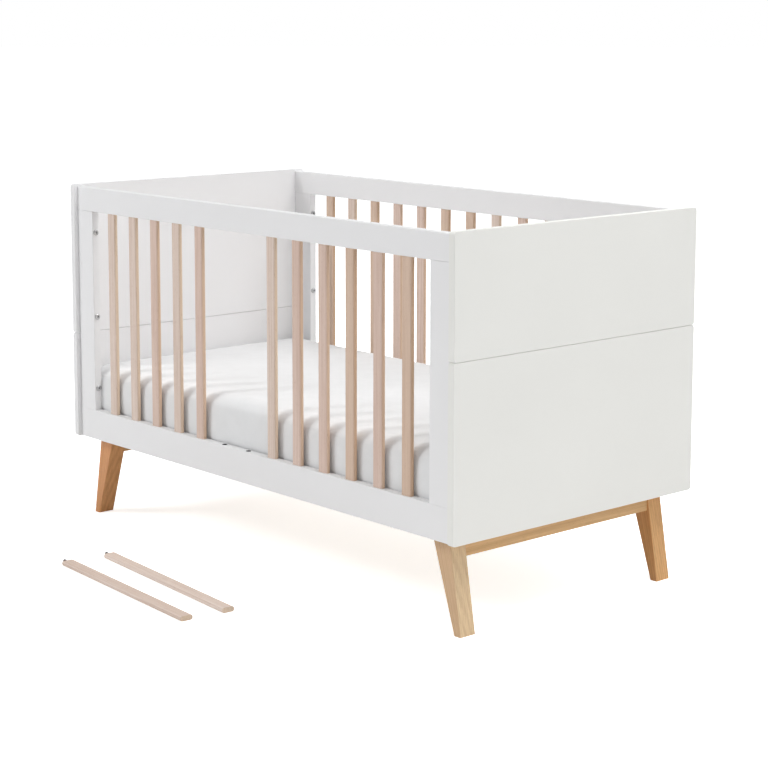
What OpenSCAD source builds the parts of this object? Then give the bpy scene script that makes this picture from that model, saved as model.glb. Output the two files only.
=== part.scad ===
// Convertible baby cot with two removable bars, slatted mattress base and mattress.
// Millimetres, +Z up, floor at z = 0. +X runs along the length and -Y is the front side.
// The origin is the middle of the footprint of the cot and its two loose bars together.

/* [Cot] */
// Length over the end panels
cot_length = 1445; // [1400:5:1500]
// Depth over the end panels
cot_depth = 766; // [750:1:800]
// Height of the end panels' top edge above the floor
cot_height = 873; // [850:1:900]
// Height of the body's underside above the floor
underside_z = 210; // [200:1:230]

/* [End panels] */
// Thickness of the end boards
panel_thickness = 18; // [16:0.5:22]
// Height of the taller of an end's two boards
tall_board_height = 390; // [370:1:410]
// Radius of a board's corners, seen from the end
panel_corner = 7; // [3:0.5:12]
// Rounding of a board's edges
panel_edge = 1.5; // [0.5:0.5:3]
// Width of the shadow gap between an end's two boards
seam_gap = 1; // [0.4:0.2:1.6]
// Depth of the shadow gap, from each face
seam_depth = 4; // [1:0.5:5]

/* [Side frames] */
// Thickness of rails and stiles
side_thickness = 21; // [20:0.5:24]
// Distance that an end panel stands out past a side frame's outer face
side_inset = 10.5; // [8:0.5:12]
// Distance from an end panel's top edge down to a top rail
top_drop = 5.5; // [3:0.5:10]
// Height of a top rail
top_rail_height = 61; // [58:1:70]
// Height of a bottom rail
bottom_rail_height = 78; // [74:1:90]
// Width of a stile
stile_width = 67.5; // [60:0.5:75]
// Rounding of the edges of rails and stiles
rail_edge = 2; // [1:0.5:3]

/* [Bars] */
// Number of bar places in each side
bar_count = 13; // [11:1:13]
// Width of a bar along the cot
bar_width = 31; // [27:0.5:32]
// Thickness of a bar across the cot
bar_thickness = 12; // [11:0.5:14]
// Rounding of a bar's long edges
bar_corner = 5; // [2:0.5:5]
// Depth of a fixed bar's mortise in each rail
mortise_depth = 12; // [8:1:15]

/* [Removable bars] */
// First of the two places that the removable bars leave open, counted from 1 at the left
open_place = 6; // [5:1:8]
// Length of a removable bar that sits inside the top rail
bar_engagement = 22; // [18:1:26]
// Room above a fitted removable bar, for lifting its pin out of its socket
bar_lift = 20; // [19:1:24]
// Radius of a socket in the bottom rail
socket_r = 5; // [4.5:0.5:6]
// Depth of a socket in the bottom rail
socket_depth = 20; // [19:1:24]
// Radius of a spring pin
pin_r = 4.2; // [3.45:0.25:4.2]
// Length of a spring pin
pin_length = 42; // [38:1:44]
// Distance that a spring pin stands out of its bar
pin_out = 18; // [12:1:18]

/* [Legs] */
// Width of a leg at its top, along the cot
leg_top_width = 54; // [48:1:58]
// Width of a leg at its foot, along the cot
leg_foot_width = 20; // [18:1:30]
// Thickness of a leg across the cot
leg_thickness = 44; // [38:1:48]
// Distance from the end of the cot to the outer edge of a leg's foot
foot_inset = 22; // [15:1:30]
// Distance that a leg leans outwards from its top to its foot
leg_lean = 35; // [20:1:40]
// Distance from the end panel's front edge to a leg
leg_side_inset = 45; // [40:1:60]
// Height of the cross rail between two legs
cross_rail_height = 47; // [40:1:52]
// Thickness of the cross rail
cross_rail_thickness = 22; // [20:1:26]
// Thickness of the bearer that carries two legs
bearer_thickness = 25; // [22:1:26]
// Width of the bearer along the cot
bearer_width = 100; // [96:1:104]

/* [Mattress base] */
// Height of the base's underside at its lowest place
base_z = 238; // [238:1:245]
// Height of the base's frame rails
base_rail_height = 26; // [22:1:30]
// Width of the base's frame rails
base_rail_width = 30; // [26:1:36]
// Number of slats
slat_count = 14; // [12:1:16]
// Width of a slat
slat_width = 58; // [50:1:64]
// Thickness of a slat
slat_thickness = 8; // [6:0.5:10]

/* [Mattress] */
// Length of the mattress
mattress_length = 1400; // [1380:1:1402]
// Width of the mattress
mattress_width = 699; // [680:1:700]
// Thickness of the mattress in its fitted sheet
mattress_thickness = 129; // [100:1:132]
// Radius of the mattress's upright corners
mattress_corner = 35; // [20:1:60]

/* [Loose bars on the floor] */
// Middle of the nearer loose bar, along the cot
near_bar_x = -47; // [-200:1:200]
// Middle of the nearer loose bar, in front of the cot's middle
near_bar_y = 687; // [660:1:760]
// Turn of the nearer loose bar
near_bar_turn = -4.1; // [-8:0.1:8]
// Middle of the farther loose bar, along the cot
far_bar_x = -35; // [-200:1:200]
// Middle of the farther loose bar, in front of the cot's middle
far_bar_y = 579; // [550:1:590]
// Turn of the farther loose bar
far_bar_turn = -4.8; // [-8:0.1:8]

/* [Hidden] */
white = "whitesmoke";
whitewashed = [0.84, 0.76, 0.69];
beech = [0.79, 0.63, 0.43];
pine = [0.87, 0.78, 0.62];
steel = "silver";
dark_steel = [0.25, 0.26, 0.28];

eps = 0.01;
round_fn = 48;
hull_fn = 24;
hull_steps = 3;

// Places shared by many pieces, for a cot whose middle is at x = 0, y = 0
end_x = cot_length / 2;
inner_x = end_x - panel_thickness;
panel_y = cot_depth / 2;
outer_y = panel_y - side_inset;
inner_y = outer_y - side_thickness;
side_y = (outer_y + inner_y) / 2;
rail_top_z = cot_height - top_drop;
top_rail_z = rail_top_z - top_rail_height;
bottom_rail_top_z = underside_z + bottom_rail_height;
stile_height = top_rail_z - bottom_rail_top_z;
stile_inner_x = inner_x - stile_width;
short_board_height = cot_height - underside_z - tall_board_height;

// Bars, evenly spread between the stiles
bar_gap = (2 * stile_inner_x - bar_count * bar_width) / (bar_count + 1);
bar_pitch = bar_gap + bar_width;
bar_places = [for (n = [1 : bar_count]) n];
open_places = [open_place, open_place + 1];
front_fixed = [for (n = bar_places) if (n < open_places[0] || n > open_places[1]) n];
removable_length = stile_height + bar_engagement - 1;
deep_mortise = bar_engagement + bar_lift;
pin_clearance = 0.05;
spring_length = 34;
spring_wire_r = 0.6;
spring_turns = 8;

// Trestles
leg_foot_outer = end_x - foot_inset;
leg_foot_inner = leg_foot_outer - leg_foot_width;
leg_top_outer = leg_foot_outer - leg_lean;
leg_top_inner = leg_top_outer - leg_top_width;
leg_outer_y = panel_y - leg_side_inset;
leg_inner_y = leg_outer_y - leg_thickness;
leg_edge = 2;
cross_rail_outer_x = leg_top_outer + 1;
cross_rail_z = underside_z - cross_rail_height;
leg_bolt_offset = 4;
leg_bolt_x = (leg_top_inner + leg_top_outer) / 2 + leg_bolt_offset;
leg_bolt_spread = 20;

// Fasteners
dowel_r = 4;
dowel_half = 15;
long_dowel_half = 20;
seam_dowel_ys = [-250, 0, 250];
stile_dowel_spread = 36;
rail_dowel_inset = 20;
bearer_dowel_ys = [120, 280];
cross_dowel_rise = 10;
panel_dowel_in = 20;
bolt_r = 3;
bolt_hole_r = 3.5;
bolt_head_r = 7.5;
bolt_head_height = 3;
bolt_heights = [345, 533, 752];
insert_r = 5;
insert_length = 12;
leg_bolt_head_r = 6.5;
leg_bolt_head_height = 6;
leg_bolt_length = 60;

// Mattress base
base_length = 1396;
base_width = 697;
slat_z = base_z + base_rail_height;
mattress_z = slat_z + slat_thickness;
slat_pitch = (base_length - slat_width) / (slat_count - 1);
bracket_xs = [-520, 520];
bracket_length = 60;
bracket_reach = 26;
bracket_drop = 24;
bracket_sheet = 2;
screw_r = 2;
screw_length = 16;
screw_head_r = 4;
screw_head_height = 1.8;
screw_spread = 36;

// Loose bars, and the shift that puts the origin in the middle of the whole footprint
near_bar_edge = near_bar_y + removable_length / 2 * sin(abs(near_bar_turn))
                + bar_width / 2 * cos(near_bar_turn);
layout_y = (near_bar_edge - panel_y) / 2;

fixed_bar_nodes = concat([for (n = front_fixed) str("front_bar_", n)],
                         [for (n = bar_places) str("back_bar_", n)]);

// ---- Building blocks ----

// Middle of the bar in place n, counted from the left
function bar_x(n) = (n - (bar_count + 1) / 2) * bar_pitch;

// Puts a piece of the cot into the shared frame
module placed() {
    translate([0, layout_y, 0]) children();
}

// Copies children to the other side of the plane across the given axis
module both(axis) {
    children();
    mirror(axis) children();
}

// Rectangle about the origin with round corners
module round_rect(size, r) {
    square([size[0] - 2 * r, size[1]], center = true);
    square([size[0], size[1] - 2 * r], center = true);
    for (x = [-1, 1], y = [-1, 1])
        translate([x * (size[0] / 2 - r), y * (size[1] / 2 - r)]) circle(r = r, $fn = round_fn);
}

// Bar along +Z from the origin, with its long edges rounded
module round_bar(size, r) {
    linear_extrude(size[2]) round_rect([size[0], size[1]], r);
}

// Bar along X about the origin, size = [length, depth, height]
module x_bar(size, r) {
    translate([-size[0] / 2, 0, 0]) rotate([90, 0, 90])
        round_bar([size[1], size[2], size[0]], r);
}

// Cylinder along +X from the origin
module x_rod(r, length) {
    rotate([0, 90, 0]) cylinder(r = r, h = length, $fn = round_fn);
}

// Board across the cot, centred on y = 0, its lower edge at z = 0 and its inner face at x = 0
module end_board(height) {
    hull() for (i = [0 : hull_steps]) let (a = 90 * i / hull_steps, inset = panel_edge * (1 - sin(a)))
        translate([panel_edge * (1 - cos(a)), 0, height / 2]) rotate([90, 0, 90])
            linear_extrude(panel_thickness - 2 * panel_edge * (1 - cos(a))) offset(delta = -inset)
                hull() for (y = [-1, 1], z = [-1, 1])
                    translate([y * (cot_depth / 2 - panel_corner), z * (height / 2 - panel_corner)])
                        circle(r = panel_corner, $fn = hull_fn);
}

// Groups of dowels, for the front right quarter unless said otherwise
module seam_dowels(z) {
    for (y = seam_dowel_ys) translate([inner_x + panel_thickness / 2, y, z - long_dowel_half])
        cylinder(r = dowel_r, h = 2 * long_dowel_half, $fn = round_fn);
}

module stile_dowels() {
    for (x = [-0.5, 0.5] * stile_dowel_spread, z = [bottom_rail_top_z, top_rail_z])
        translate([inner_x - stile_width / 2 + x, -side_y, z - dowel_half])
            cylinder(r = dowel_r, h = 2 * dowel_half, $fn = round_fn);
}

module rail_end_dowels() {
    for (z = [underside_z + rail_dowel_inset, bottom_rail_top_z - rail_dowel_inset,
              (top_rail_z + rail_top_z) / 2])
        translate([inner_x - panel_dowel_in, -side_y, z]) x_rod(dowel_r, 2 * dowel_half);
}

module bearer_dowels() {
    for (y = bearer_dowel_ys)
        translate([inner_x - panel_dowel_in, -y, underside_z + bearer_thickness / 2])
            x_rod(dowel_r, 2 * dowel_half);
}

module cross_rail_dowels() {
    for (z = [-1, 1] * cross_dowel_rise)
        translate([cross_rail_outer_x - cross_rail_thickness / 2, -leg_inner_y + long_dowel_half,
                   cross_rail_z + cross_rail_height / 2 + z])
            rotate([90, 0, 0]) cylinder(r = dowel_r, h = 2 * long_dowel_half, $fn = round_fn);
}

module quarter_dowels() {
    stile_dowels();
    rail_end_dowels();
    bearer_dowels();
    cross_rail_dowels();
}

module all_dowels() {
    both([1, 0, 0]) both([0, 1, 0]) quarter_dowels();
    seam_dowels(underside_z + tall_board_height);
    mirror([1, 0, 0]) seam_dowels(underside_z + short_board_height);
}

module insert_holes() {
    both([0, 1, 0]) for (z = bolt_heights) translate([inner_x - eps, -side_y, z])
        x_rod(insert_r, insert_length + eps);
}

module bolt_holes() {
    for (z = bolt_heights) translate([stile_inner_x - eps, -side_y, z])
        x_rod(bolt_hole_r, stile_width + 2 * eps);
}

// Hexagon-socket bolt along +X: the head's underside is at the origin
module socket_bolt(head_r, head_height, length, socket) {
    difference() {
        union() {
            x_rod(bolt_r, length);
            translate([-head_height * 0.6, 0, 0]) x_rod(head_r, head_height * 0.6);
            translate([-head_height, 0, 0]) rotate([0, 90, 0])
                cylinder(r1 = head_r * 0.82, r2 = head_r, h = head_height * 0.4, $fn = round_fn);
        }
        translate([-head_height - eps, 0, 0]) rotate([0, 90, 0])
            cylinder(r = socket / 2 / cos(30), h = head_height * 0.8, $fn = 6);
    }
}

// ---- End panels ----

// Shadow gap at height z in both faces of the right end
module seam_slots(z) {
    for (x = [inner_x - eps, end_x - seam_depth])
        translate([x, -panel_y - eps, z - seam_gap / 2])
            cube([seam_depth + eps, cot_depth + 2 * eps, seam_gap]);
}

// Board of the right end between two heights, with its holes
module right_board(z, height) {
    difference() {
        translate([inner_x, 0, z]) end_board(height);
        both([0, 1, 0]) {
            rail_end_dowels();
            bearer_dowels();
        }
        insert_holes();
        children();
    }
}

// What is cut out of both boards at the seam at height z
module seam_cuts(z) {
    seam_slots(z);
    seam_dowels(z);
}

module right_panel_lower() {
    color(white) placed() right_board(underside_z, tall_board_height)
        seam_cuts(underside_z + tall_board_height);
}

module right_panel_upper() {
    color(white) placed() right_board(underside_z + tall_board_height, short_board_height)
        seam_cuts(underside_z + tall_board_height);
}

module left_panel_lower() {
    color(white) placed() mirror([1, 0, 0]) right_board(underside_z, short_board_height)
        seam_cuts(underside_z + short_board_height);
}

module left_panel_upper() {
    color(white) placed() mirror([1, 0, 0])
        right_board(underside_z + short_board_height, tall_board_height)
            seam_cuts(underside_z + short_board_height);
}

// ---- Side frames ----

// Pocket of a bar, of the given depth, going up from z
module mortise(n, z, depth) {
    translate([bar_x(n), -side_y, z]) round_bar([bar_width, bar_thickness, depth], bar_corner);
}

// Front rail between two heights, with its dowel holes
module front_rail(z, height) {
    difference() {
        translate([0, -side_y, z + height / 2])
            x_bar([2 * inner_x, side_thickness, height], rail_edge);
        both([1, 0, 0]) {
            rail_end_dowels();
            stile_dowels();
        }
        children();
    }
}

module front_top_rail() {
    color(white) placed() front_rail(top_rail_z, top_rail_height) {
        for (n = front_fixed) mortise(n, top_rail_z - eps, mortise_depth + eps);
        for (n = open_places) translate([bar_x(n), -side_y, top_rail_z - eps])
            round_bar([bar_width + 1, bar_thickness + 1, deep_mortise + eps], bar_corner);
    }
}

module front_bottom_rail() {
    color(white) placed() front_rail(underside_z, bottom_rail_height) {
        bracket_screw_shanks();
        for (n = front_fixed) mortise(n, bottom_rail_top_z - mortise_depth, mortise_depth + eps);
        for (n = open_places) translate([bar_x(n), -side_y, bottom_rail_top_z - socket_depth])
            cylinder(r = socket_r, h = socket_depth + eps, $fn = round_fn);
    }
}

module back_top_rail() {
    color(white) placed() mirror([0, 1, 0]) front_rail(top_rail_z, top_rail_height)
        for (n = bar_places) mortise(n, top_rail_z - eps, mortise_depth + eps);
}

module back_bottom_rail() {
    color(white) placed() mirror([0, 1, 0]) front_rail(underside_z, bottom_rail_height) {
        bracket_screw_shanks();
        for (n = bar_places) mortise(n, bottom_rail_top_z - mortise_depth, mortise_depth + eps);
    }
}

// Stile of the front right corner
module stile() {
    difference() {
        translate([inner_x - stile_width / 2, -side_y, bottom_rail_top_z])
            round_bar([stile_width, side_thickness, stile_height], rail_edge);
        stile_dowels();
        bolt_holes();
    }
}

module front_right_stile() {
    color(white) placed() stile();
}

module front_left_stile() {
    color(white) placed() mirror([1, 0, 0]) stile();
}

module back_right_stile() {
    color(white) placed() mirror([0, 1, 0]) stile();
}

module back_left_stile() {
    color(white) placed() rotate([0, 0, 180]) stile();
}

// ---- Bars ----

module front_bar(n) {
    color(whitewashed) placed()
        mortise(n, bottom_rail_top_z - mortise_depth, stile_height + 2 * mortise_depth);
}

module back_bar(n) {
    color(whitewashed) placed() mirror([0, 1, 0])
        mortise(n, bottom_rail_top_z - mortise_depth, stile_height + 2 * mortise_depth);
}

// Lays a piece of a removable bar on the floor; the bar's middle line is local X
module laid_near() {
    placed() translate([near_bar_x, -near_bar_y, bar_thickness / 2])
        rotate([0, 0, near_bar_turn]) children();
}

module laid_far() {
    placed() translate([far_bar_x, -far_bar_y, bar_thickness / 2])
        rotate([0, 0, far_bar_turn]) children();
}

module loose_bar() {
    color(whitewashed) difference() {
        x_bar([removable_length, bar_width, bar_thickness], bar_corner);
        translate([-removable_length / 2 - eps, 0, 0])
            x_rod(pin_r + pin_clearance, pin_length - pin_out + spring_length + eps);
    }
}

module loose_pin() {
    color(dark_steel) translate([-removable_length / 2 - pin_out, 0, 0]) {
        translate([1, 0, 0]) x_rod(pin_r, pin_length - 1);
        rotate([0, 90, 0]) cylinder(r1 = pin_r - 1, r2 = pin_r, h = 1, $fn = round_fn);
    }
}

// Coil spring behind the pin, as a row of separate rings
module loose_spring() {
    pitch = (spring_length - 2 * spring_wire_r) / spring_turns;
    color(steel) translate([-removable_length / 2 + pin_length - pin_out + spring_wire_r, 0, 0])
        for (i = [0 : spring_turns]) translate([i * pitch, 0, 0]) rotate([0, 90, 0])
            rotate_extrude($fn = round_fn) translate([pin_r - 2 * spring_wire_r, 0])
                circle(r = spring_wire_r, $fn = 16);
}

module removable_bar_6() { laid_near() loose_bar(); }
module removable_bar_7() { laid_far() loose_bar(); }
module spring_pin_6() { laid_near() loose_pin(); }
module spring_pin_7() { laid_far() loose_pin(); }
module pin_spring_6() { laid_near() loose_spring(); }
module pin_spring_7() { laid_far() loose_spring(); }

// ---- Fasteners of the body ----

module dowels() {
    color(beech) placed() all_dowels();
}

module panel_inserts() {
    color(steel) placed() both([1, 0, 0]) difference() {
        insert_holes();
        both([0, 1, 0]) for (z = bolt_heights) translate([inner_x - 1, -side_y, z])
            x_rod(bolt_r, insert_length + 2);
    }
}

module side_bolts() {
    color(steel) placed() both([1, 0, 0]) both([0, 1, 0]) for (z = bolt_heights)
        translate([stile_inner_x, -side_y, z])
            socket_bolt(bolt_head_r, bolt_head_height, stile_width + insert_length, 5);
}

// ---- Trestles ----

// Places of the two bolts that hold the front right leg, pointing down from the bearer's top
module leg_bolt_places() {
    for (y = [-0.5, 0.5])
        translate([leg_bolt_x, -(leg_outer_y + leg_inner_y) / 2 + y * leg_bolt_spread,
                   underside_z + bearer_thickness - leg_bolt_head_height])
            rotate([0, 90, 0]) children();
}

// Front right leg, a taper that leans outwards
module leg() {
    difference() {
        hull() {
            translate([(leg_top_inner + leg_top_outer) / 2, -(leg_outer_y + leg_inner_y) / 2,
                       underside_z - 1])
                linear_extrude(1) hull() round_rect([leg_top_width, leg_thickness], leg_edge);
            translate([(leg_foot_inner + leg_foot_outer) / 2, -(leg_outer_y + leg_inner_y) / 2, 0])
                linear_extrude(1) hull() round_rect([leg_foot_width, leg_thickness], leg_edge);
        }
        leg_bolt_places() x_rod(bolt_r, leg_bolt_length);
        cross_rail_dowels();
    }
}

module front_right_leg() {
    color(beech) placed() leg();
}

module front_left_leg() {
    color(beech) placed() mirror([1, 0, 0]) leg();
}

module back_right_leg() {
    color(beech) placed() mirror([0, 1, 0]) leg();
}

module back_left_leg() {
    color(beech) placed() rotate([0, 0, 180]) leg();
}

// Cross rail between the two right legs
module cross_rail() {
    difference() {
        translate([cross_rail_outer_x - cross_rail_thickness / 2, leg_inner_y,
                   cross_rail_z + cross_rail_height / 2])
            rotate([90, 0, 0])
                round_bar([cross_rail_thickness, cross_rail_height, 2 * leg_inner_y], leg_edge);
        both([0, 1, 0]) cross_rail_dowels();
    }
}

module right_cross_rail() {
    color(beech) placed() cross_rail();
}

module left_cross_rail() {
    color(beech) placed() mirror([1, 0, 0]) cross_rail();
}

// Bearer at the foot of the right end panel, which the legs hang from
module bearer() {
    difference() {
        translate([inner_x - bearer_width, -inner_y, underside_z])
            cube([bearer_width, 2 * inner_y, bearer_thickness]);
        both([0, 1, 0]) {
            bearer_dowels();
            leg_bolt_places() {
                x_rod(bolt_r, leg_bolt_length);
                translate([-leg_bolt_head_height, 0, 0])
                    x_rod(leg_bolt_head_r + 0.5, leg_bolt_head_height);
            }
        }
    }
}

module right_bearer() {
    color(pine) placed() bearer();
}

module left_bearer() {
    color(pine) placed() mirror([1, 0, 0]) bearer();
}

module leg_bolts() {
    color(steel) placed() both([1, 0, 0]) both([0, 1, 0]) leg_bolt_places()
        socket_bolt(leg_bolt_head_r, leg_bolt_head_height - 1, leg_bolt_length, 5);
}

// ---- Mattress base and mattress ----

// Places of the screws of a front bracket at x, pointing into the bottom rail
module bracket_screw_places(x) {
    for (s = [-0.5, 0.5])
        translate([x + s * screw_spread, -inner_y + bracket_sheet, base_z - bracket_drop / 2])
            rotate([90, 0, 0]) children();
}

module bracket_screw_shanks() {
    for (x = bracket_xs) bracket_screw_places(x) cylinder(r = screw_r, h = screw_length, $fn = round_fn);
}

module front_bracket(x) {
    difference() {
        translate([x - bracket_length / 2, -inner_y, base_z]) {
            translate([0, 0, -bracket_sheet]) cube([bracket_length, bracket_reach, bracket_sheet]);
            translate([0, 0, -bracket_drop]) cube([bracket_length, bracket_sheet, bracket_drop]);
        }
        bracket_screw_places(x) translate([0, 0, -eps])
            cylinder(r = screw_r, h = bracket_sheet + 2 * eps, $fn = round_fn);
    }
}

module base_brackets() {
    color(steel) placed() both([0, 1, 0]) for (x = bracket_xs) front_bracket(x);
}

module bracket_screws() {
    color(steel) placed() both([0, 1, 0]) {
        bracket_screw_shanks();
        for (x = bracket_xs) bracket_screw_places(x) translate([0, 0, -screw_head_height])
            cylinder(r = screw_head_r, h = screw_head_height, $fn = round_fn);
    }
}

module base_side_rails() {
    color(pine) placed() both([0, 1, 0])
        translate([0, -(base_width - base_rail_width) / 2, base_z + base_rail_height / 2])
            x_bar([base_length, base_rail_width, base_rail_height], rail_edge);
}

module base_end_rails() {
    color(pine) placed() both([1, 0, 0])
        translate([(base_length - base_rail_width) / 2, base_width / 2 - base_rail_width,
                   base_z + base_rail_height / 2])
            rotate([90, 0, 0]) round_bar([base_rail_width, base_rail_height,
                                          base_width - 2 * base_rail_width], rail_edge);
}

module base_slats() {
    color(pine) placed() for (i = [0 : slat_count - 1])
        translate([i * slat_pitch - base_length / 2 + slat_width / 2, base_width / 2,
                   slat_z + slat_thickness / 2])
            rotate([90, 0, 0])
                round_bar([slat_width, slat_thickness, base_width], rail_edge);
}

module mattress() {
    color("white") placed() translate([0, 0, mattress_z])
        round_bar([mattress_length, mattress_width, mattress_thickness], mattress_corner);
}

left_panel_lower();
left_panel_upper();
right_panel_lower();
right_panel_upper();
front_top_rail();
front_bottom_rail();
front_left_stile();
front_right_stile();
back_top_rail();
back_bottom_rail();
back_left_stile();
back_right_stile();
dowels();
panel_inserts();
side_bolts();
front_left_leg();
front_right_leg();
back_left_leg();
back_right_leg();
left_cross_rail();
right_cross_rail();
left_bearer();
right_bearer();
leg_bolts();
base_brackets();
bracket_screws();
base_side_rails();
base_end_rails();
base_slats();
mattress();
removable_bar_6();
removable_bar_7();
spring_pin_6();
spring_pin_7();
pin_spring_6();
pin_spring_7();
for (n = front_fixed) front_bar(n);
for (n = bar_places) back_bar(n);
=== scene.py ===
"""Looks of the baby cot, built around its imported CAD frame. Blender 4.5, metres."""
import math

import bmesh
import bpy
from mathutils import Matrix, Vector, noise
from mathutils.bvhtree import BVHTree


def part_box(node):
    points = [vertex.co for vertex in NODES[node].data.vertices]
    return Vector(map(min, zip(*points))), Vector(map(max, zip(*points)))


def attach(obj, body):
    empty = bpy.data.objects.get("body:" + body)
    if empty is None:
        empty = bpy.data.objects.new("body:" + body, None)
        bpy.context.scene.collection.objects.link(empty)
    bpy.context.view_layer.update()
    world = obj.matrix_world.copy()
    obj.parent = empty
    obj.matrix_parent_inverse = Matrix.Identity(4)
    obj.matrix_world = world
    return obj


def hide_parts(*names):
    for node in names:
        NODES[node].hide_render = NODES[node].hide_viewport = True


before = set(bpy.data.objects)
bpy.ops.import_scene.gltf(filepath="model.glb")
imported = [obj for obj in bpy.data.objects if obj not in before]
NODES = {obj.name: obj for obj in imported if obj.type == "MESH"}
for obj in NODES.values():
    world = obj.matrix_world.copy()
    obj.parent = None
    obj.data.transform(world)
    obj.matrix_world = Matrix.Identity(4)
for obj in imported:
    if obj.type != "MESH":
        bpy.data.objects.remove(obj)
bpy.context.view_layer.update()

PANEL_LOW, PANEL_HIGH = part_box("right_panel_lower")
MATTRESS_LOW, MATTRESS_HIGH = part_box("mattress")
COT_Y = (PANEL_LOW.y + PANEL_HIGH.y) / 2


def srgb(red, green, blue):
    """A colour given as 0-255 screen values, as the linear values that shaders take."""
    def linear(value):
        value /= 255
        return value / 12.92 if value <= 0.04045 else ((value + 0.055) / 1.055) ** 2.4
    return linear(red), linear(green), linear(blue)


# ---- Shader helpers ----

class Shader:
    """A material's node tree, with short calls to add and join nodes."""

    def __init__(self, name):
        self.material = bpy.data.materials.new(name)
        self.material.use_nodes = True
        self.tree = self.material.node_tree
        self.tree.nodes.clear()
        self.bsdf = self.add("ShaderNodeBsdfPrincipled")
        output = self.add("ShaderNodeOutputMaterial")
        self.tree.links.new(self.bsdf.outputs["BSDF"], output.inputs["Surface"])
        self.coordinates = self.add("ShaderNodeTexCoord")

    def add(self, kind, **settings):
        node = self.tree.nodes.new(kind)
        for key, value in settings.items():
            setattr(node, key, value)
        return node

    def feed(self, socket, value):
        """Gives a socket another socket's value, a number or a colour."""
        if isinstance(value, bpy.types.NodeSocket):
            self.tree.links.new(value, socket)
        elif isinstance(value, tuple) and len(value) == 3 and socket.type == "RGBA":
            socket.default_value = (*value, 1)
        else:
            socket.default_value = value

    def place(self, scale=(1, 1, 1), shift=(0, 0, 0), turn=(0, 0, 0)):
        """Object coordinates, turned so that turn's axes line up with the piece, then scaled."""
        turned = self.add("ShaderNodeMapping", vector_type="POINT")
        self.feed(turned.inputs["Vector"], self.coordinates.outputs["Object"])
        turned.inputs["Rotation"].default_value = turn
        scaled = self.add("ShaderNodeMapping", vector_type="POINT")
        self.feed(scaled.inputs["Vector"], turned.outputs["Vector"])
        scaled.inputs["Scale"].default_value = scale
        scaled.inputs["Location"].default_value = shift
        return scaled.outputs["Vector"]

    def noise(self, where, scale=1.0, detail=3.0, roughness=0.5, distortion=0.0):
        node = self.add("ShaderNodeTexNoise")
        self.feed(node.inputs["Vector"], where)
        node.inputs["Scale"].default_value = scale
        node.inputs["Detail"].default_value = detail
        node.inputs["Roughness"].default_value = roughness
        node.inputs["Distortion"].default_value = distortion
        return node.outputs["Fac"]

    def wave(self, where, scale, kind, direction, distortion, detail, ripple):
        node = self.add("ShaderNodeTexWave", wave_type=kind)
        setattr(node, "bands_direction" if kind == "BANDS" else "rings_direction", direction)
        self.feed(node.inputs["Vector"], where)
        node.inputs["Scale"].default_value = scale
        node.inputs["Distortion"].default_value = distortion
        node.inputs["Detail"].default_value = detail
        node.inputs["Detail Scale"].default_value = ripple
        return node.outputs["Fac"]

    def spread(self, value, low, high, to_low=0.0, to_high=1.0):
        """Spreads value's range low to high over to_low to to_high, and clips it there."""
        node = self.add("ShaderNodeMapRange")
        self.feed(node.inputs["Value"], value)
        ends = {"From Min": low, "From Max": high, "To Min": to_low, "To Max": to_high}
        for name, number in ends.items():
            node.inputs[name].default_value = number
        return node.outputs["Result"]

    def mix(self, factor, first, second):
        """Mixes two colours. The node's colour sockets are told apart by index only."""
        node = self.add("ShaderNodeMix", data_type="RGBA")
        for index, value in ((0, factor), (6, first), (7, second)):
            self.feed(node.inputs[index], value)
        return node.outputs[2]

    def math(self, operation, first, second=0.0):
        """A maths node. ABSOLUTE takes no notice of second."""
        node = self.add("ShaderNodeMath", operation=operation)
        self.feed(node.inputs[0], first)
        self.feed(node.inputs[1], second)
        return node.outputs["Value"]

    def bump(self, height, strength, distance):
        """Adds a bump on top of any bump that is there already."""
        node = self.add("ShaderNodeBump")
        node.inputs["Strength"].default_value = strength
        node.inputs["Distance"].default_value = distance
        self.feed(node.inputs["Height"], height)
        linked = self.bsdf.inputs["Normal"].links
        if linked:
            self.feed(node.inputs["Normal"], linked[0].from_socket)
        self.feed(self.bsdf.inputs["Normal"], node.outputs["Normal"])

    def set(self, **values):
        for name, value in values.items():
            self.feed(self.bsdf.inputs[name.replace("_", " ")], value)


# ---- Materials ----

# Where a noise texture's values mostly lie.
NOISE_SPAN = (0.3, 0.7)
# The right end's boards get a warmer white than the other boards: the same lacquer, with the warm
# light on that end painted in.
LACQUER_WARM_LIT = (srgb(239, 239, 235), srgb(237, 237, 233))
LACQUER_COOL = (srgb(239, 239, 240), srgb(237, 237, 238))


def lacquer(name, light, deep):
    """Satin white lacquer, with faint cloudiness, smears in its gloss and orange peel."""
    s = Shader(name)
    where = s.place()
    cloud = s.noise(where, scale=3.0)
    smears = s.noise(where, scale=11.0)
    orange_peel = s.noise(where, scale=420.0, detail=2.0)
    s.set(Base_Color=s.mix(s.spread(cloud, *NOISE_SPAN), deep, light))
    s.set(Roughness=s.spread(smears, *NOISE_SPAN, to_low=0.42, to_high=0.5))
    s.bump(orange_peel, strength=0.1, distance=0.0004)
    return s.material


# Cycles per metre of each of wood's patterns, twice across the grain and once along it.
DRIFT_SCALE = (22, 22, 1.6)
GRAIN_SCALE = (330, 330, 5.0)
HAIR_SCALE = (1500, 1500, 22.0)
FLECK_SCALE = (560, 560, 85)
FLECK_PATCH_SCALE = (200, 200, 40)
# The growth rings are stretched along the grain, and their number is set by wood's ring.
RING_STRETCH = (1, 1, 0.055)
GLOSS_SWING = 0.06


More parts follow.
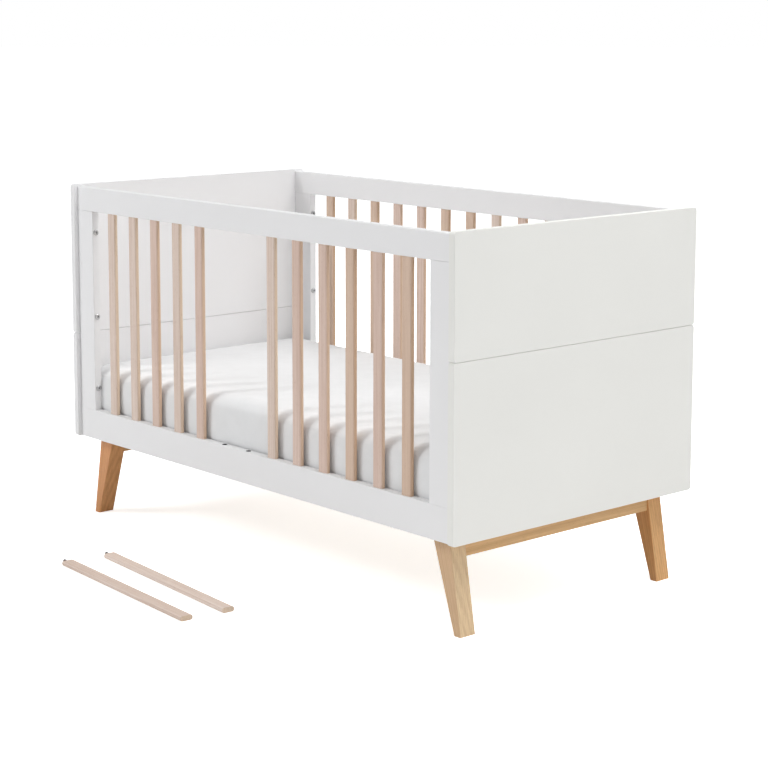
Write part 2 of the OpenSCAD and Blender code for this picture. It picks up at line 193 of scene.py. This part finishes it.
def wood(name, light, deep, streak, turn=(0, 0, 0), shift=(0, 0, 0), side=None, ring=80.0,
         fleck=0.55, roughness=0.5):
    """Wood whose grain runs along Z once turned: tone drift, growth rings, fine grain and flecks.
    side, if given, is the tone of the faces that look along X; for the stains it is lighter, a
    painted highlight."""
    s = Shader(name)
    drift = s.noise(s.place(DRIFT_SCALE, shift, turn), roughness=0.6)
    grain = s.noise(s.place(GRAIN_SCALE, shift, turn), detail=4.0, roughness=0.65)
    hair = s.noise(s.place(HAIR_SCALE, shift, turn), detail=2.0, roughness=0.6)
    rings = s.wave(s.place(RING_STRETCH, shift, turn), ring, "RINGS", "Z", distortion=7.0,
                   detail=3.0, ripple=0.4)
    flecks = s.add("ShaderNodeTexVoronoi", feature="F1")
    s.feed(flecks.inputs["Vector"], s.place(FLECK_SCALE, shift, turn))
    flecks.inputs["Scale"].default_value = 1.0
    core = s.spread(flecks.outputs["Distance"], 0.10, 0.30, to_low=1.0, to_high=0.0)
    patches = s.noise(s.place(FLECK_PATCH_SCALE, shift, turn), detail=1.0)
    specks = s.math("MULTIPLY", core, s.spread(patches, 0.48, 0.56))

    tone = s.mix(s.spread(drift, *NOISE_SPAN), light, deep)
    # Faces that look along X take the side tone; for the stains it is a painted highlight.
    if side is not None:
        facing = s.add("ShaderNodeSeparateXYZ")
        s.feed(facing.inputs["Vector"], s.coordinates.outputs["Normal"])
        sideways = s.spread(s.math("ABSOLUTE", facing.outputs["X"]), 0.55, 0.95)
        tone = s.mix(sideways, tone, side)
    ringed = s.mix(s.spread(rings, 0.25, 1.0, to_high=0.22), tone, streak)
    grained = s.mix(s.spread(grain, 0.42, 0.68, to_high=0.34), ringed, streak)
    haired = s.mix(s.spread(hair, 0.5, 0.75, to_high=0.2), grained, streak)
    s.set(Base_Color=s.mix(s.math("MULTIPLY", specks, fleck), haired, streak))
    s.set(Roughness=s.spread(grain, *NOISE_SPAN, to_low=roughness - GLOSS_SWING,
                             to_high=roughness + GLOSS_SWING))
    s.bump(grain, strength=0.14, distance=0.0004)
    s.bump(specks, strength=0.12, distance=-0.0002)
    return s.material


# The whitewash's tones, each as its light, its deep and its side tone.
BAR_TONES = {
    "light": (srgb(240, 226, 216), srgb(234, 218, 207), srgb(236, 216, 194)),
    "pale": (srgb(232, 216, 205), srgb(224, 206, 194), srgb(230, 208, 184)),
    "rose": (srgb(229, 207, 195), srgb(220, 195, 182), srgb(221, 192, 166)),
    "tan": (srgb(226, 203, 184), srgb(215, 188, 167), srgb(208, 176, 146)),
}
BAR_STREAK = srgb(188, 154, 131)
FRONT_TONES = "pale pale rose pale rose pale pale pale rose rose tan rose tan".split()
BACK_TONES = "tan pale tan rose rose tan tan pale rose tan pale rose tan".split()
# The stains, each as its light, its deep, its streak and its side tone. The side tone is lighter,
# a painted highlight on the faces that look along X.
STAINS = {
    "pale": (srgb(220, 188, 152), srgb(209, 174, 136), srgb(182, 142, 102), srgb(237, 210, 170)),
    "honey": (srgb(214, 160, 104), srgb(200, 143, 87), srgb(164, 108, 58), srgb(230, 181, 123)),
    "amber": (srgb(225, 165, 112), srgb(213, 149, 95), srgb(176, 110, 62), srgb(233, 174, 117)),
    "straw": (srgb(226, 184, 128), srgb(213, 168, 112), srgb(178, 130, 78), srgb(228, 188, 134)),
}
# The legs are one stained beech; each leg's stain stands for how it is lit, a painted shade: the
# front left leg, in shade, gets the deeper orange amber, and the front right leg, lit from the
# right, the palest.
LEG_STAINS_BY_SHADE = {
    "front_right": "pale",
    "back_right": "honey",
    "front_left": "amber",
    "back_left": "honey",
}
LEG_LEAN = math.radians(13.5)
PINE = (srgb(226, 202, 160), srgb(214, 184, 138), srgb(176, 132, 84))
DOWEL_BEECH = (srgb(224, 198, 164), srgb(214, 184, 146), srgb(180, 140, 100))
GRAIN_ALONG_X = (0, math.pi / 2, 0)
GRAIN_ALONG_Y = (math.pi / 2, 0, 0)


def bar_wood(tone, name=None, turn=(0, 0, 0)):
    light, deep, side = BAR_TONES[tone]
    return wood(name or f"beech_{tone}", light, deep, BAR_STREAK, turn=turn, side=side,
                roughness=0.56)


def stained_wood(name, stain, turn, shift):
    # The stain's side tone paints a highlight on the faces that look along X.
    light, deep, streak, side = STAINS[stain]
    return wood(name, light, deep, streak, turn=turn, shift=shift, side=side, ring=62.0,
                fleck=0.5, roughness=0.46)


def pine(name, turn):
    return wood(name, *PINE, turn=turn, ring=34.0, fleck=0.15, roughness=0.62)


ZINC = (0.62, 0.63, 0.65)
NICKEL = (0.70, 0.70, 0.71)
# Colour of the painted shade in the nickel bolts' sockets and seams.
NICKEL_PAINTED_SHADE = (0.08, 0.08, 0.08)
BLACKENED_STEEL = (0.09, 0.09, 0.1)
# How far the painted shade reaches from a socket or seam.
PAINTED_SHADE_REACH = 0.0025
STAIN_DARKENING = 0.72
STAIN_DULLING = 0.08
TURNING_SCALE = (300, 3000, 3000)


def metal(name, colour, roughness, painted_shade=None):
    """Plated steel with fine turning marks and a little staining.
    The last argument, if given, is the colour of a painted shade that darkens sockets and seams,
    found by ambient occlusion."""
    s = Shader(name)
    where = s.place()
    blotch = s.noise(where, scale=260.0)
    dark = tuple(channel * STAIN_DARKENING for channel in colour)
    tone = s.mix(s.spread(blotch, 0.35, 0.7), colour, dark)
    # Painted shade: ambient occlusion darkens sockets and seams to the shade colour.
    if painted_shade is not None:
        shade_mask = s.add("ShaderNodeAmbientOcclusion", samples=8)
        shade_mask.inputs["Distance"].default_value = PAINTED_SHADE_REACH
        tone = s.mix(s.spread(shade_mask.outputs["AO"], 0.45, 0.9), painted_shade, tone)
    s.set(Metallic=1.0, Base_Color=tone)
    s.set(Roughness=s.spread(blotch, *NOISE_SPAN, to_low=roughness - GLOSS_SWING,
                             to_high=roughness + STAIN_DULLING))
    s.bump(s.noise(s.place(TURNING_SCALE), detail=2.0), strength=0.15, distance=0.0001)
    return s.material


def cotton(name, light, deep, thread):
    """Plain-woven cotton: threads along all three axes, slubs and a soft fuzz.
    thread is the thread's pitch."""
    s = Shader(name)
    where = s.place()
    cloud = s.noise(where, scale=26.0, detail=4.0, roughness=0.6)
    s.set(Base_Color=s.mix(s.spread(cloud, *NOISE_SPAN), light, deep))
    s.set(Roughness=0.9, Sheen_Weight=0.25, Sheen_Roughness=0.5)
    # A wave texture of scale 1 has 20 radians of wave to the metre.
    scale = math.tau / (20 * thread)
    threads = [s.wave(where, scale, "BANDS", direction, distortion=0.6, detail=1.0, ripple=2.0)
               for direction in "XYZ"]
    weave = s.math("ADD", s.math("ADD", threads[0], threads[1]), threads[2])
    slub = s.noise(where, scale=900.0, roughness=0.7)
    s.bump(slub, strength=0.2, distance=0.0003)
    s.bump(weave, strength=0.16, distance=0.0002)
    return s.material


FLOOR_DEEP = (0.92, 0.92, 0.92)
FLOOR_LIGHT = (0.94, 0.94, 0.94)


def floor_finish():
    """Matt white studio floor with a barely visible mottle. It lights the cot as a plain white
    floor, and is itself shown overexposed, more so further away, with a faint shadow under the
    cot."""
    s = Shader("studio_floor")
    mottle = s.noise(s.place(), scale=2.0, detail=5.0)
    s.set(Base_Color=s.mix(mottle, FLOOR_DEEP, FLOOR_LIGHT), Roughness=0.9)
    distance = s.add("ShaderNodeVectorMath", operation="LENGTH")
    s.feed(distance.inputs[0], s.coordinates.outputs["Object"])
    glow = s.spread(distance.outputs["Value"], FLOOR_NEAR, FLOOR_FAR, FLOOR_GLOW, 1.0)
    seen = s.add("ShaderNodeLightPath").outputs["Is Camera Ray"]
    s.set(Emission_Color=(1, 1, 1), Emission_Strength=s.math("MULTIPLY", seen, glow))
    return s.material


# ---- Finishes of the CAD nodes ----

def finish(names, material):
    for name in names:
        mesh = NODES[name].data
        mesh.materials.clear()
        mesh.materials.append(material)


def bar_turn(name):
    """Turn of a loose bar about Z, from its own long edges."""
    points = [vertex.co for vertex in NODES[name].data.vertices]
    middle = sum(points, Vector()) / len(points)
    left = [p for p in points if p.x < middle.x]
    right = [p for p in points if p.x > middle.x]
    across = sum(right, Vector()) / len(right) - sum(left, Vector()) / len(left)
    return math.atan2(across.y, across.x)


def finish_frame():
    # The right end's boards take the warmer white, a painted warm light.
    finish(["right_panel_lower", "right_panel_upper"],
           lacquer("white_lacquer_warm_lit", *LACQUER_WARM_LIT))
    frames = [n for n in NODES
              if n.startswith(("front_", "back_")) and n.endswith(("rail", "stile"))]
    left_boards = [n for n in NODES if n.startswith("left_panel_")]
    finish(left_boards + frames, lacquer("white_lacquer", *LACQUER_COOL))


def finish_bars():
    upright = {tone: bar_wood(tone) for tone in BAR_TONES if tone in FRONT_TONES + BACK_TONES}
    for side, tones in (("front", FRONT_TONES), ("back", BACK_TONES)):
        for place, tone in enumerate(tones, 1):
            if f"{side}_bar_{place}" in NODES:
                finish([f"{side}_bar_{place}"], upright[tone])
    for name, tone in (("removable_bar_6", "pale"), ("removable_bar_7", "light")):
        turn = bar_turn(name)
        along = Matrix.Rotation(-math.pi / 2, 3, "Y") @ Matrix.Rotation(-turn, 3, "Z")
        grain = bar_wood(tone, name + "_beech", tuple(along.to_euler()))
        finish([name], grain)


def finish_legs():
    # Each leg's stain carries its painted shade.
    for corner, stain in LEG_STAINS_BY_SHADE.items():
        sign = 1 if corner.endswith("right") else -1
        # Each end's legs show another part of the grain.
        shift = (0.3 * sign, 0.4, 0)
        leaning = (0, sign * LEG_LEAN, 0)
        finish([f"{corner}_leg"],
               stained_wood(f"stained_{corner}_leg", stain, leaning, shift))
    cross_grain = stained_wood("stained_cross_rails", "straw", GRAIN_ALONG_Y, (0.2, 0.3, 0))
    finish(["left_cross_rail", "right_cross_rail"], cross_grain)


def finish_hidden_wood():
    finish(["left_bearer", "right_bearer", "base_end_rails", "base_slats"],
           pine("pine_across", GRAIN_ALONG_Y))
    finish(["base_side_rails"], pine("pine_along", GRAIN_ALONG_X))
    finish(["dowels"], wood("dowel_beech", *DOWEL_BEECH))


def finish_metal():
    finish(["side_bolts"], metal("nickel", NICKEL, 0.34, NICKEL_PAINTED_SHADE))
    finish(["panel_inserts", "leg_bolts", "base_brackets", "bracket_screws", "pin_spring_6",
            "pin_spring_7"], metal("zinc", ZINC, 0.32))
    finish(["spring_pin_6", "spring_pin_7"],
           metal("blackened_steel", BLACKENED_STEEL, 0.4))


finish_frame()
finish_bars()
finish_legs()
finish_hidden_wood()
finish_metal()


# ---- Socket bushes ----

BUSH_R = 0.0049
BUSH_HOLE_R = 0.0043
BUSH_FLANGE_R = 0.0062
BUSH_FLANGE = 0.0006
BUSH_DEEP = 0.017
BUSH_CHAMFER = 0.0003
BUSH_LIFT = 0.00002
BUSH_SIDES = 40
BUSH_BLACK = srgb(52, 52, 54)


def new_object(name, mesh):
    piece = bpy.data.objects.new(name, mesh)
    bpy.context.scene.collection.objects.link(piece)
    return piece


def moulded_plastic(name, colour):
    """Moulded plastic with a fine spark-eroded surface."""
    s = Shader(name)
    where = s.place()
    worn = tuple(1.3 * channel for channel in colour)
    smears = s.noise(where, scale=700.0, detail=2.0)
    grit = s.noise(where, scale=2500.0, detail=2.0)
    s.set(Base_Color=s.mix(s.noise(where, scale=300.0, detail=2.0), colour, worn))
    s.set(Roughness=s.spread(smears, *NOISE_SPAN, to_low=0.42, to_high=0.56))
    s.bump(grit, strength=0.1, distance=0.0001)
    return s.material


def turned_solid(name, profile, centre):
    """Solid of revolution about an upright line.
    profile is a closed outline of (radius, height)."""
    shape = bmesh.new()
    rings = []
    for step in range(BUSH_SIDES):
        turn = math.tau * step / BUSH_SIDES
        corners = [Vector((radius * math.cos(turn), radius * math.sin(turn), height))
                   for radius, height in profile]
        rings.append([shape.verts.new(centre + corner) for corner in corners])
    for step, ring in enumerate(rings):
        after = rings[(step + 1) % BUSH_SIDES]
        for corner in range(len(profile)):
            near = (corner + 1) % len(profile)
            shape.faces.new((ring[corner], after[corner], after[near], ring[near]))
    bmesh.ops.recalc_face_normals(shape, faces=shape.faces)
    mesh = bpy.data.meshes.new(name)
    shape.to_mesh(mesh)
    shape.free()
    return new_object(name, mesh)


def bar_centre(name):
    low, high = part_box(name)
    return (low + high) / 2


def make_bushes():
    """A dark plastic bush in each socket of the bottom rail, for the loose bars' spring pins."""
    plastic = moulded_plastic("dark_plastic", BUSH_BLACK)
    last = bar_centre("front_bar_5")
    pitch = last - bar_centre("front_bar_4")
    profile = [(BUSH_HOLE_R, -BUSH_DEEP), (BUSH_HOLE_R, BUSH_FLANGE - BUSH_CHAMFER),
               (BUSH_HOLE_R + BUSH_CHAMFER, BUSH_FLANGE),
               (BUSH_FLANGE_R - BUSH_CHAMFER, BUSH_FLANGE),
               (BUSH_FLANGE_R, BUSH_FLANGE - BUSH_CHAMFER), (BUSH_FLANGE_R, BUSH_LIFT),
               (BUSH_R, BUSH_LIFT), (BUSH_R, -BUSH_DEEP)]
    for place in (6, 7):
        centre = last + pitch * (place - 5)
        centre.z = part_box("front_bottom_rail")[1].z
        bush = turned_solid(f"socket_bush_{place}", profile, centre)
        bush.data.materials.append(plastic)
        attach(bush, "cot_frame")


make_bushes()


# ---- Mattress and fitted sheet ----

TOP_EDGE_R = 0.036
BOTTOM_EDGE_R = 0.012
CORNER_R = 0.055
BEVEL_SEGMENTS = 8
COVER_INSET = 0.001
VOXEL = 0.0135
PRESSURE = 2.0
SWELL_FRAMES = 16
SWELL = Vector((0.004, 0.007, 0.006))
CROWN = 0.004
REACH = Vector((0.7036, 0.3548))
# Beside the bottom rails the cover has less room than above them.
RAIL_REACH = 0.3508
RAIL_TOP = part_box("front_bottom_rail")[1].z
RAIL_CLEARANCE = 0.006

# The cover's slack: how far it swells, and about how large each swell is.
TOP_SLACK, TOP_SWELLS = 0.0006, (0.24, 0.20, 1.0)
SIDE_SLACK, SIDE_SWELLS = 0.0008, (0.06, 0.06, 0.26)
CREASE_SLACK, SIDE_CREASES = 0.0002, (0.020, 0.020, 0.11)
PULL_SLACK = 0.0006
PULL_REACH = 0.20
PULLS_AROUND = 22

SHEET_THICK = 0.0007
SHEET_REST = MATTRESS_LOW.z + 0.0021
SHEET_UNDERSIDE = SHEET_REST + 0.001
HEM_IN = 0.075
HEM_BAND = 0.014
SHEET_WHITE = (srgb(233, 234, 235), srgb(229, 230, 231))
SHEET_THREAD = 0.0006
TICKING_CREAM = (srgb(232, 230, 224), srgb(226, 223, 216))
TICKING_THREAD = 0.0009
TICKING_IN = 0.0004

SEAM_TOP = MATTRESS_HIGH.z - 0.012
SEAM_BOTTOM = SHEET_REST + 0.003
SEAM_ROWS = 26
SEAM_SIDES = 8
SEAM_HALF_WIDTH = 0.0016
SEAM_HALF_HEIGHT = 0.0007
# Seams are found from places this far out from the cot's middle, beyond each corner.
SEAM_FROM = Vector((0.80, 0.447))


def rounded_block(name, low, high, corner, bottom_edge, top_edge):
    """Block with round upright corners and round top and bottom edges."""
    shape = bmesh.new()
    bmesh.ops.create_cube(shape, size=1.0)
    for vertex in shape.verts:
        vertex.co = Vector([(low[i] + high[i]) / 2 + vertex.co[i] * (high[i] - low[i])
                            for i in range(3)])
    upright = [e for e in shape.edges if abs(e.verts[0].co.z - e.verts[1].co.z) > 0.01]
    bmesh.ops.bevel(shape, geom=upright, offset=corner, segments=BEVEL_SEGMENTS, profile=0.5,
                    affect="EDGES")
    for height, radius in ((low.z, bottom_edge), (high.z, top_edge)):
        rim = [e for e in shape.edges if all(abs(v.co.z - height) < 1e-5 for v in e.verts)]
        bmesh.ops.bevel(shape, geom=rim, offset=radius, segments=BEVEL_SEGMENTS, profile=0.5,
                        affect="EDGES")
    mesh = bpy.data.meshes.new(name)
    shape.to_mesh(mesh)
    shape.free()
    return new_object(name, mesh)


def apply_modifiers(piece):
    graph = bpy.context.evaluated_depsgraph_get()
    baked = bpy.data.meshes.new_from_object(piece.evaluated_get(graph))
    piece.modifiers.clear()
    piece.data = baked


def remesh(piece):
    modifier = piece.modifiers.new("remesh", "REMESH")
    modifier.mode = "VOXEL"
    modifier.voxel_size = VOXEL
    apply_modifiers(piece)


def subdivide(piece):
    modifier = piece.modifiers.new("smooth", "SUBSURF")
    modifier.levels = modifier.render_levels = 1
    apply_modifiers(piece)


def inflate(piece):
    """Swells the piece as cloth under pressure, with no gravity.
    Gives each point's start and its move."""
    start = [vertex.co.copy() for vertex in piece.data.vertices]
    cloth = piece.modifiers.new("cloth", "CLOTH")
    cloth.settings.quality = 5
    cloth.settings.mass = 0.25
    cloth.settings.tension_stiffness = 25
    cloth.settings.compression_stiffness = 25
    cloth.settings.bending_stiffness = 1.5
    cloth.settings.use_pressure = True
    cloth.settings.uniform_pressure_force = PRESSURE
    cloth.settings.effector_weights.gravity = 0
    cloth.collision_settings.use_collision = False
    cloth.point_cache.frame_end = SWELL_FRAMES
    for number in range(1, SWELL_FRAMES + 1):
        bpy.context.scene.frame_set(number)
    apply_modifiers(piece)
    bpy.context.scene.frame_set(1)
    return start, [vertex.co - first for vertex, first in zip(piece.data.vertices, start)]


def swell(piece):
    """Inflates the piece and scales the result so that it grows by SWELL along each axis."""
    start, moved = inflate(piece)
    most = [max(abs(step[axis]) for step in moved) for axis in range(3)]
    print("mattress: furthest simulated moves", [round(value, 4) for value in most])
    for vertex, first, step in zip(piece.data.vertices, start, moved):
        vertex.co = first + Vector([step[axis] * SWELL[axis] / most[axis] for axis in range(3)])


def fill_out(piece):
    """Stretches the piece to reach the end boards and the bars, and CROWN above the CAD
    mattress."""
    foot = Vector((0, COT_Y, MATTRESS_LOW.z))
    points = [vertex.co - foot for vertex in piece.data.vertices]
    wanted = Vector((REACH.x, REACH.y, MATTRESS_HIGH.z + CROWN - MATTRESS_LOW.z))
    scale = [(wanted[axis] - SHEET_THICK) / max(abs(point[axis]) for point in points)
             for axis in range(3)]
    for vertex, point in zip(piece.data.vertices, points):
        vertex.co = Vector([point[axis] * scale[axis] for axis in range(3)]) + foot


def ripple(where, size, seed):
    """Smooth noise from -1 to 1 whose swells are about size across."""
    scaled = Vector([where[axis] / size[axis] for axis in range(3)])
    return noise.noise(scaled + Vector((seed, seed, seed)))


def corner_offset(place):
    """How far a point is in from the mattress's nearest upright corner, along X and Y."""
    return Vector((MATTRESS_HIGH.x - abs(place.x), MATTRESS_HIGH.y - COT_Y - abs(place.y - COT_Y)))


def settle_cloth(piece):
    """Gives the cover its slack: low swells on top, upright ones down the sides, and pulls at
    the corners. Then keeps it on the slats, off the rails and between the end boards."""
    normals = [vertex.normal.copy() for vertex in piece.data.vertices]
    for vertex, normal in zip(piece.data.vertices, normals):
        here = vertex.co - Vector((0, COT_Y, 0))
        steep = 1 - abs(normal.z)
        slack = TOP_SLACK * (1 - steep) * ripple(here, TOP_SWELLS, 3.1)
        slack += SIDE_SLACK * steep * ripple(here, SIDE_SWELLS, 7.7)
        slack += CREASE_SLACK * steep * ripple(here, SIDE_CREASES, 1.9)
        corner = corner_offset(vertex.co)
        pull = max(0.0, 1 - corner.length / PULL_REACH)
        around = math.atan2(corner.y, corner.x)
        slack += PULL_SLACK * pull * math.sin(around * PULLS_AROUND) * (0.4 + 0.6 * steep)
        place = here + normal * slack
        low = place.z < RAIL_TOP + RAIL_CLEARANCE
        for axis, reach in ((0, REACH.x), (1, RAIL_REACH if low else REACH.y)):
            place[axis] = max(-reach, min(reach, place[axis]))
        place.z = max(place.z, SHEET_REST)
        vertex.co = place + Vector((0, COT_Y, 0))


def smooth_shade(piece):
    piece.data.polygons.foreach_set("use_smooth", [True] * len(piece.data.polygons))


def dress(piece, material):
    piece.data.materials.clear()
    piece.data.materials.append(material)
    smooth_shade(piece)
    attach(piece, "mattress")


def hem_distance(place):
    """How far a point of the underside is from the mattress's outline."""
    return min(corner_offset(place))


def cut_sheet(cover):
    """The fitted sheet: the cover without the middle of its underside, with a thicker hem all
    round. Gives it with the cloth's area as measured on the finished cover."""
    sheet = new_object("fitted_sheet", cover.data.copy())
    shape = bmesh.new()
    shape.from_mesh(sheet.data)
    under = [f for f in shape.faces if f.calc_center_median().z < SHEET_UNDERSIDE
             and hem_distance(f.calc_center_median()) > HEM_IN]
    bmesh.ops.delete(shape, geom=under, context="FACES")
    area = sum(face.calc_area() for face in shape.faces)
    shape.to_mesh(sheet.data)
    shape.free()
    weights = sheet.vertex_groups.new(name="thickness")
    for vertex in sheet.data.vertices:
        hem = vertex.co.z < SHEET_UNDERSIDE and hem_distance(vertex.co) > HEM_IN - HEM_BAND
        weights.add([vertex.index], 1.0 if hem else 0.5, "REPLACE")
    skin = sheet.modifiers.new("thickness", "SOLIDIFY")
    # The hem has twice the cloth's thickness, so the rest is weighted by half.
    skin.thickness = 2 * SHEET_THICK
    skin.offset = 1.0
    skin.vertex_group = weights.name
    apply_modifiers(sheet)
    sheet.vertex_groups.clear()
    return sheet, area


def into_corner(sign_x, sign_y):
    return Vector((-sign_x, -sign_y, 0)).normalized()


def seam_line(tree, sign_x, sign_y):
    """Points of the cover down one of its corners, each with the surface's normal."""
    outline = []
    for row in range(SEAM_ROWS):
        height = SEAM_TOP + (SEAM_BOTTOM - SEAM_TOP) * row / (SEAM_ROWS - 1)
        start = Vector((sign_x * SEAM_FROM.x, COT_Y + sign_y * SEAM_FROM.y, height))
        hit, normal, _, _ = tree.ray_cast(start, into_corner(sign_x, sign_y))
        if hit is not None:
            outline.append((hit, normal))
    return outline


def add_welt(welt, outline, sign_x, sign_y):
    """A flattened tube along the outline, with both ends closed."""
    inward = into_corner(sign_x, sign_y)
    along = Vector((-inward.y, inward.x, 0))
    rings = []
    for hit, normal in outline:
        ring = []
        for step in range(SEAM_SIDES):
            turn = math.tau * step / SEAM_SIDES
            ring.append(welt.verts.new(
                hit + normal * (SHEET_THICK + SEAM_HALF_HEIGHT * math.sin(turn))
                + along * SEAM_HALF_WIDTH * math.cos(turn)))
        rings.append(ring)
    for first, second in zip(rings, rings[1:]):
        for step in range(SEAM_SIDES):
            after = (step + 1) % SEAM_SIDES
            welt.faces.new((first[step], first[after], second[after], second[step]))
    welt.faces.new(rings[0])
    welt.faces.new(reversed(rings[-1]))


def add_corner_seams(sheet, cover):
    """Sewn seams down the sheet's four corners, as low welts that become part of the sheet."""
    tree = BVHTree.FromObject(cover, bpy.context.evaluated_depsgraph_get())
    welt = bmesh.new()
    welt.from_mesh(sheet.data)
    for sign_x in (-1, 1):
        for sign_y in (-1, 1):
            add_welt(welt, seam_line(tree, sign_x, sign_y), sign_x, sign_y)
    bmesh.ops.recalc_face_normals(welt, faces=welt.faces)
    welt.to_mesh(sheet.data)
    welt.free()


def make_mattress():
    """A foam mattress in its ticking, swollen by simulation, and the fitted sheet stretched
    over it."""
    low = MATTRESS_LOW + Vector((COVER_INSET, COVER_INSET, COVER_INSET))
    high = MATTRESS_HIGH - Vector((COVER_INSET, COVER_INSET, 0))
    cover = rounded_block("mattress_cover", low, high, CORNER_R, BOTTOM_EDGE_R, TOP_EDGE_R)
    remesh(cover)
    swell(cover)
    subdivide(cover)
    fill_out(cover)
    settle_cloth(cover)
    sheet, area = cut_sheet(cover)
    add_corner_seams(sheet, cover)
    dress(sheet, cotton("sheet_cotton", *SHEET_WHITE, SHEET_THREAD))

    core = new_object("mattress_core", cover.data.copy())
    inside = [vertex.co - vertex.normal * TICKING_IN for vertex in cover.data.vertices]
    for vertex, place in zip(core.data.vertices, inside):
        vertex.co = place
    bpy.data.objects.remove(cover)
    dress(core, cotton("ticking", *TICKING_CREAM, TICKING_THREAD))
    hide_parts("mattress")


make_mattress()


# ---- Studio ----

SURROUND = 0.22
FLOOR_GLOW = 0.66
FLOOR_NEAR = 0.8
FLOOR_FAR = 2.2
# Each softbox's name, place from the cot's middle on the floor, size and watts.
SOFTBOXES = (
    ("overhead", (0, 0, 6.0), (7.0, 7.0), 55),
    ("right", (5.0, -1.2, 3.4), (3.5, 3.0), 42),
    ("right_high", (2.4, 1.0, 5.4), (3.0, 3.0), 170),
    ("front_left", (-2.8, -3.7, 2.2), (2.5, 2.5), 49),
    ("back", (-0.5, 4.5, 3.0), (4.0, 3.0), 92),
)
KEY_FROM = (-2.5, -4.33, 4.25)
KEY_STRENGTH = 0.66
KEY_SPREAD = math.radians(12)
LAMPS_FACE = Vector((0, 0, 0.4))
FLOOR_R = 60


def aim(lamp, place):
    """Puts a lamp at a place given from the cot's middle on the floor, facing the cot."""
    bpy.context.scene.collection.objects.link(lamp)
    lamp.location = Vector(place) + Vector((0, COT_Y, 0))
    lamp.rotation_euler = (LAMPS_FACE - Vector(place)).to_track_quat("-Z", "Y").to_euler()


def make_floor():
    floor = bmesh.new()
    bmesh.ops.create_circle(floor, cap_ends=True, radius=FLOOR_R, segments=96)
    mesh = bpy.data.meshes.new("floor")
    floor.to_mesh(mesh)
    floor.free()
    ground = new_object("floor", mesh)
    ground.data.materials.append(floor_finish())


def make_world():
    """A soft white surround that lights the cot, seen by the camera as a white backdrop."""
    world = bpy.data.worlds.new("studio")
    bpy.context.scene.world = world
    world.use_nodes = True
    tree = world.node_tree
    tree.nodes.clear()
    output = tree.nodes.new("ShaderNodeOutputWorld")
    surround = tree.nodes.new("ShaderNodeBackground")
    surround.inputs["Color"].default_value = (1, 1, 1, 1)
    surround.inputs["Strength"].default_value = SURROUND
    backdrop = tree.nodes.new("ShaderNodeBackground")
    backdrop.inputs["Strength"].default_value = 1.0
    backdrop.inputs["Color"].default_value = (1, 1, 1, 1)
    ray = tree.nodes.new("ShaderNodeLightPath")
    choose = tree.nodes.new("ShaderNodeMixShader")
    tree.links.new(ray.outputs["Is Camera Ray"], choose.inputs["Fac"])
    tree.links.new(surround.outputs["Background"], choose.inputs[1])
    tree.links.new(backdrop.outputs["Background"], choose.inputs[2])
    tree.links.new(choose.outputs["Shader"], output.inputs["Surface"])


def make_lamps():
    for name, place, size, watts in SOFTBOXES:
        data = bpy.data.lights.new(name, "AREA")
        data.shape = "RECTANGLE"
        data.size, data.size_y = size
        data.energy = watts
        aim(bpy.data.objects.new(name, data), place)
    sun = bpy.data.lights.new("key", "SUN")
    sun.energy = KEY_STRENGTH
    sun.angle = KEY_SPREAD
    aim(bpy.data.objects.new("key", sun), KEY_FROM)


# ---- Camera ----

CAMERA_FROM_COT = Vector((3.6055, -3.1298, 1.3288))
CAMERA_YAW = math.radians(49.140)
CAMERA_PITCH = math.radians(-7.613)
CAMERA_LENS = 92.011
CAMERA_SHIFT = (0.03, -0.15)
SENSOR_WIDTH = 36
CLIP_END = 200


def make_camera():
    """A camera that looks a little down. Its lens shift is small, so that the cot stays in frame
    when the camera goes round it."""
    data = bpy.data.cameras.new("camera")
    data.sensor_width = SENSOR_WIDTH
    data.lens = CAMERA_LENS
    data.shift_x, data.shift_y = CAMERA_SHIFT
    data.clip_end = CLIP_END
    camera = bpy.data.objects.new("camera", data)
    bpy.context.scene.collection.objects.link(camera)
    camera.location = CAMERA_FROM_COT + Vector((0, COT_Y, 0))
    camera.rotation_euler = (math.pi / 2 + CAMERA_PITCH, 0, CAMERA_YAW)
    bpy.context.scene.camera = camera


make_floor()
make_world()
make_lamps()
make_camera()
bpy.context.scene.view_settings.view_transform = "Standard"
